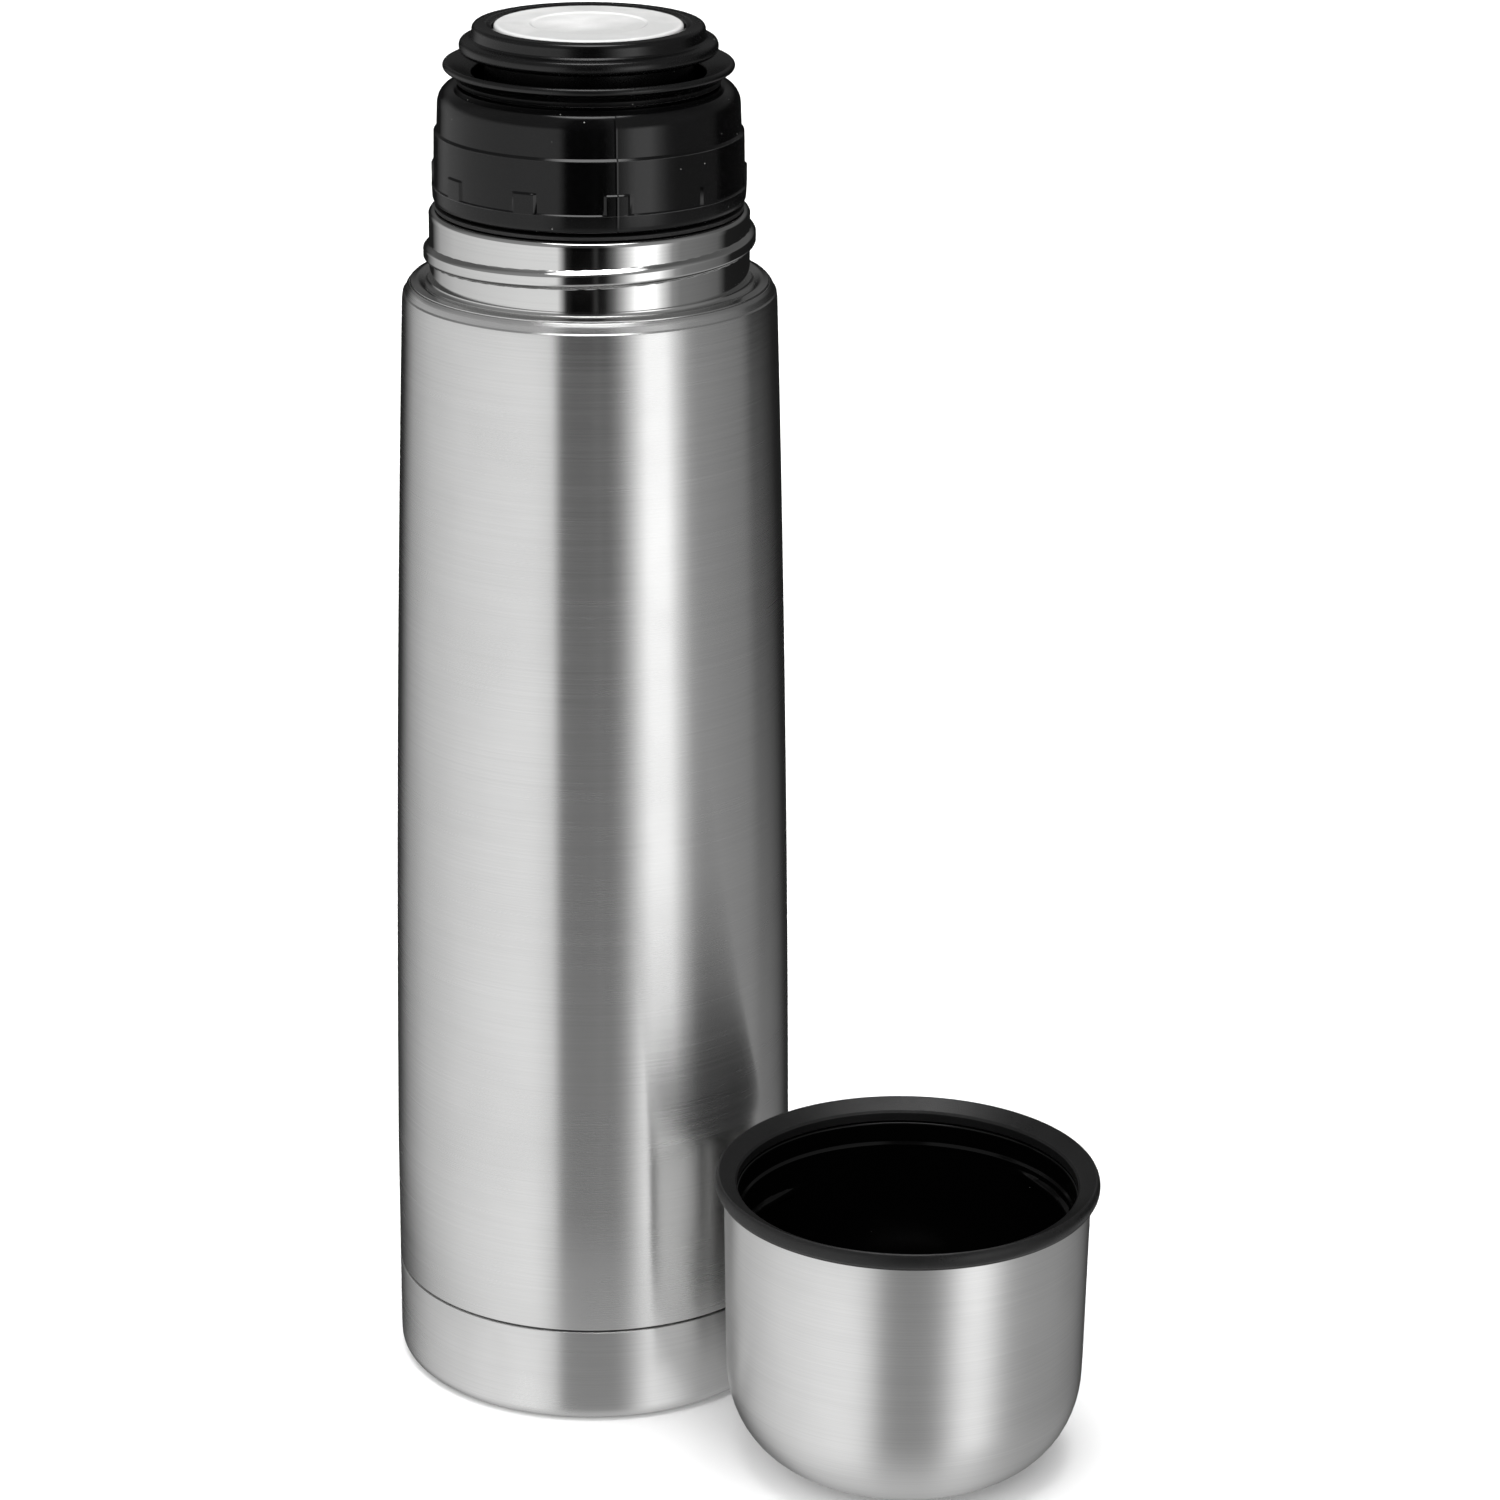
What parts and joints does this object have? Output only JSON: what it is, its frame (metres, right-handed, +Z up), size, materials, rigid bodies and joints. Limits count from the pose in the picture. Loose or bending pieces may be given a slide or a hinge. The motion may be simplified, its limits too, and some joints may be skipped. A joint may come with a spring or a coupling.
{
  "type": "vacuum flask",
  "caption": "Double-walled steel vacuum flask with a screw-in push-button pouring stopper, and its lined drinking cup standing beside it.",
  "frame": {"origin": "centre of the base cap's flat underside, on the floor", "axes": "+Z up along the flask, -Y towards the viewer with the cup standing to the front right, +X to the viewer's right"},
  "size_m": [0.1229, 0.1106, 0.2407],
  "materials": {
    "brushed_steel": "stainless steel sheet with fine brushing round the body",
    "polished_steel": "polished stainless steel neck",
    "vessel_steel": "smooth stainless steel of the inner bottle",
    "foil": "bright reflective foil",
    "getter_metal": "dull dark pressed pill",
    "braze": "dull drop of braze",
    "spring_steel": "bright drawn wire and small hardware",
    "gloss_black": "glossy moulded black plastic",
    "satin_black": "satin moulded black plastic",
    "matt_black": "fine textured matt black plastic",
    "natural_plastic": "natural uncoloured plastic",
    "white_plastic": "glossy white plastic",
    "black_silicone": "soft black silicone",
    "white_silicone": "soft white silicone",
    "grey_silicone": "soft grey silicone"
  },
  "bodies": {
    "flask": {"outer_shell": "brushed_steel", "neck_ring": "polished_steel", "inner_vessel": "vessel_steel", "radiation_foil": "foil", "vacuum_base": "vessel_steel", "getter": "getter_metal", "vacuum_seal": "braze", "base_cap": "brushed_steel"},
    "stopper_seal": {"neck_gasket": "black_silicone"},
    "stopper": {"stopper_housing": "gloss_black", "pour_lip": "satin_black", "stopper_cap": "satin_black", "valve_seat": "natural_plastic", "button_spring": "spring_steel"},
    "button": {"push_button": "white_plastic", "button_seal": "white_silicone", "valve_stem": "natural_plastic", "valve_head": "natural_plastic", "valve_gasket": "grey_silicone", "stem_nut": "spring_steel"},
    "cup": {"cup_shell": "brushed_steel", "cup_liner": "gloss_black", "cup_rim": "matt_black"}
  },
  "joints": [
    {"name": "stopper_rise", "type": "slide", "parent": "flask", "child": "stopper_seal", "axis": [0, 0, 1], "range_m": [0, 0.00705]},
    {"name": "stopper_turn", "type": "hinge", "parent": "stopper_seal", "child": "stopper", "pos_m": [0, 0, 0], "axis": [0, 0, 1], "range_deg": [0, 450]},
    {"name": "button_press", "type": "slide", "parent": "stopper", "child": "button", "axis": [0, 0, -1], "range_m": [0, 0.004], "stiffness_N_per_m": 1000, "springref_m": -0.002, "deforming": ["button_spring"]},
    {"name": "cup_lift", "type": "slide", "parent": "flask", "child": "cup", "axis": [0, 0, 1], "range_m": [0, 0.25]}
  ],
  "couplings": [
    {"joint": "stopper_rise", "follows": "stopper_turn", "m_per_rad": 0.00089127}
  ]
}
